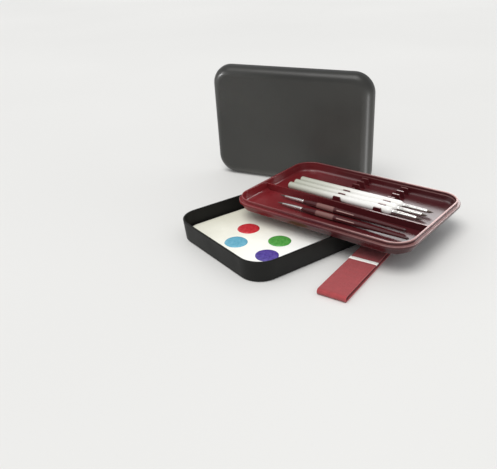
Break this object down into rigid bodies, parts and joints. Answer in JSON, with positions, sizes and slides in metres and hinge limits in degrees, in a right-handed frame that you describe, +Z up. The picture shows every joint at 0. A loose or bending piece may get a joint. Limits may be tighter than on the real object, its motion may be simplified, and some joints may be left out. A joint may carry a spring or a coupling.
{
  "type": "wet palette",
  "caption": "Miniature painter's wet palette laid open: shallow base tray with wet foam, sheet and paint, brush storage tray with brushes across it, lid standing behind and elastic strap.",
  "frame": {"origin": "middle of the base tray's flat underside, on the table", "axes": "X along the base tray's long side, Y along its short side, +Z up from the table"},
  "size_m": [0.2661, 0.3704, 0.1517],
  "materials": {
    "black_plastic": "fine matt texture",
    "burgundy_plastic": "smooth semi-gloss",
    "hydro_foam": "wet open-cell foam",
    "palette_sheet": "damp translucent parchment",
    "red_paint": "wet paint",
    "blue_paint": "wet paint",
    "green_paint": "wet paint",
    "violet_paint": "wet paint",
    "red_elastic": "woven elastic",
    "white_label": "woven label",
    "white_handle": "lacquered wood",
    "dark_handle": "lacquered wood",
    "ferrule_metal": "drawn metal tube",
    "dark_bristle": "fine hair"
  },
  "bodies": {
    "base": {"base_tray": "black_plastic"},
    "foam": {"hydro_foam": "hydro_foam"},
    "sheet": {"palette_sheet": "palette_sheet", "paint_red": "red_paint", "paint_blue": "blue_paint", "paint_green": "green_paint", "paint_violet": "violet_paint"},
    "brush_tray": {"brush_tray": "burgundy_plastic"},
    "lid": {"lid": "black_plastic"},
    "strap": {"elastic_strap": "red_elastic", "strap_label": "white_label"},
    "thick_brush_1": {"thick_brush_1_handle": "white_handle", "thick_brush_1_ferrule": "ferrule_metal", "thick_brush_1_tuft": "dark_bristle"},
    "thick_brush_2": {"thick_brush_2_handle": "white_handle", "thick_brush_2_ferrule": "ferrule_metal", "thick_brush_2_tuft": "dark_bristle"},
    "thick_brush_3": {"thick_brush_3_handle": "white_handle", "thick_brush_3_ferrule": "ferrule_metal", "thick_brush_3_tuft": "dark_bristle"},
    "thin_brush_1": {"thin_brush_1_handle": "dark_handle", "thin_brush_1_ferrule": "ferrule_metal", "thin_brush_1_tuft": "dark_bristle"},
    "thin_brush_2": {"thin_brush_2_handle": "dark_handle", "thin_brush_2_ferrule": "ferrule_metal", "thin_brush_2_tuft": "dark_bristle"}
  },
  "joints": [
    {"name": "foam_lift", "type": "slide", "parent": "base", "child": "foam", "axis": [0, 0, 1], "range_m": [0, 0.008]},
    {"name": "sheet_lift", "type": "slide", "parent": "foam", "child": "sheet", "axis": [0, 0, 1], "range_m": [0, 0.006]},
    {"name": "brush_tray_lift", "type": "slide", "parent": "base", "child": "brush_tray", "axis": [0, 0, 1], "range_m": [0, 0.2]},
    {"name": "lid_lift", "type": "slide", "parent": "base", "child": "lid", "axis": [0, 0, 1], "range_m": [0, 0.2]},
    {"name": "strap_pull", "type": "slide", "parent": "base", "child": "strap", "axis": [-0.9379, -0.3469, 0], "range_m": [0, 0.14]},
    {"name": "thick_brush_1_lift", "type": "slide", "parent": "brush_tray", "child": "thick_brush_1", "axis": [0, 0, 1], "range_m": [0, 0.08]},
    {"name": "thick_brush_2_lift", "type": "slide", "parent": "brush_tray", "child": "thick_brush_2", "axis": [0, 0, 1], "range_m": [0, 0.08]},
    {"name": "thick_brush_3_lift", "type": "slide", "parent": "brush_tray", "child": "thick_brush_3", "axis": [0, 0, 1], "range_m": [0, 0.08]},
    {"name": "thin_brush_1_lift", "type": "slide", "parent": "brush_tray", "child": "thin_brush_1", "axis": [0, 0, 1], "range_m": [0, 0.08]},
    {"name": "thin_brush_2_lift", "type": "slide", "parent": "brush_tray", "child": "thin_brush_2", "axis": [0, 0, 1], "range_m": [0, 0.08]}
  ]
}
